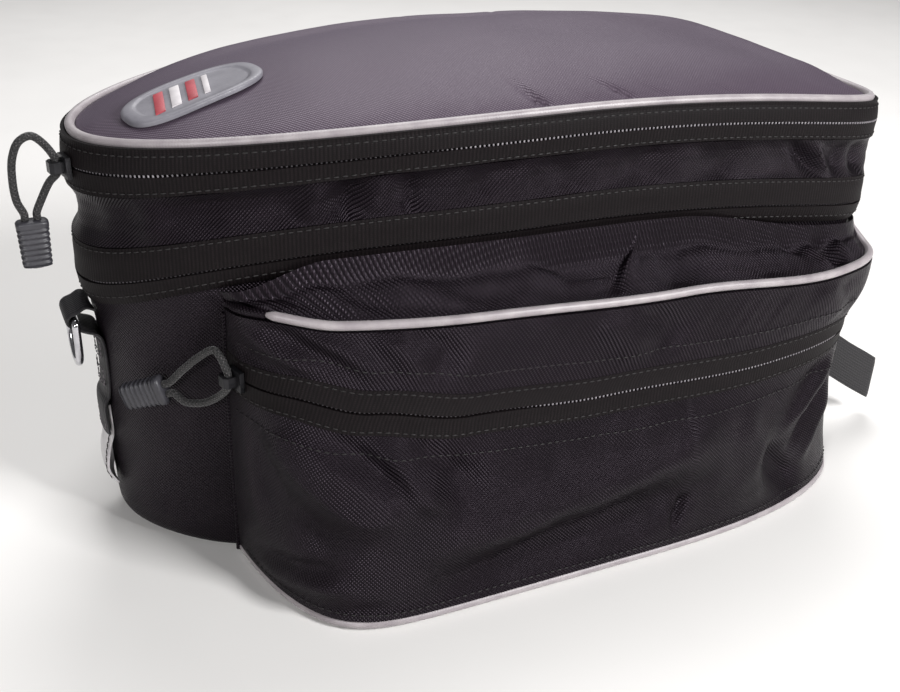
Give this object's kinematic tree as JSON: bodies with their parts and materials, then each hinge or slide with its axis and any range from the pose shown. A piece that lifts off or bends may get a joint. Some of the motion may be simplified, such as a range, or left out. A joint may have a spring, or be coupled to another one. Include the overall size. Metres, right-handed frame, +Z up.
{
  "type": "bicycle trunk bag",
  "caption": "Black and grey rack-top bicycle bag with a crowned lid, light piping, an expanding gusset, zipped side pockets and a steel ring on its round end.",
  "frame": {"origin": "centre of the flat base of the tub, on the surface it stands on", "axes": "+X towards the square end (the round end with the ring is -X), +Z up, -Y the near long side in the picture"},
  "size_m": [0.4262, 0.2578, 0.2119],
  "materials": {
    "ballistic_cloth": "black coated ballistic nylon, matt with a fine diagonal glint",
    "lid_cloth": "dark purple-grey padded nylon, fine twill",
    "zip_tape": "woven zip tape, matt",
    "zip_coil": "nylon coil",
    "piping": "pale reflective piping, satin",
    "webbing": "ribbed black webbing",
    "cord": "braided black cord with pale flecks",
    "grip_plastic": "moulded dark grey plastic",
    "slider_metal": "black enamelled zinc",
    "ring_steel": "plated steel wire",
    "reflective_tape": "pale reflective tape",
    "patch_rubber": "grey moulded rubber"
  },
  "bodies": {
    "bag": {"body_shell": "ballistic_cloth", "lid_panel": "lid_cloth", "lid_piping": "piping", "lid_zip_tape_upper": "zip_tape", "lid_zip_coil": "zip_coil", "lid_zip_tape_lower": "zip_tape", "gusset_band": "ballistic_cloth", "expansion_zip_tape_upper": "zip_tape", "expansion_zip_coil": "zip_coil", "expansion_zip_tape_lower": "zip_tape", "near_pocket_band": "ballistic_cloth", "near_pocket_zip_tape_upper": "zip_tape", "near_pocket_zip_tape_lower": "zip_tape", "near_pocket_front": "ballistic_cloth", "near_pocket_top": "ballistic_cloth", "near_pocket_base": "ballistic_cloth", "near_pocket_piping": "piping", "near_pocket_base_piping": "piping", "near_pocket_zip_coil": "zip_coil", "far_pocket_band": "ballistic_cloth", "far_pocket_zip_tape_upper": "zip_tape", "far_pocket_zip_tape_lower": "zip_tape", "far_pocket_front": "ballistic_cloth", "far_pocket_top": "ballistic_cloth", "far_pocket_base": "ballistic_cloth", "far_pocket_piping": "piping", "far_pocket_base_piping": "piping", "far_pocket_zip_coil": "zip_coil", "lid_zip_slider": "slider_metal", "lid_pull_cord": "cord", "lid_cord_end": "grip_plastic", "near_pocket_zip_slider": "slider_metal", "near_pocket_pull_cord": "cord", "near_pocket_cord_end": "grip_plastic", "near_rack_strap": "webbing", "far_pocket_zip_slider": "slider_metal", "far_pocket_pull_cord": "cord", "far_pocket_cord_end": "grip_plastic", "far_rack_strap": "webbing", "ring_hanger": "webbing", "light_loop": "reflective_tape", "lid_patch": "patch_rubber"},
    "d_ring": {"d_ring": "ring_steel"}
  },
  "joints": [
    {"name": "d_ring_swing", "type": "hinge", "parent": "bag", "child": "d_ring", "pos_m": [-0.1905, 0, 0.106], "axis": [0, 1, 0], "range_deg": [-12, 120]}
  ]
}
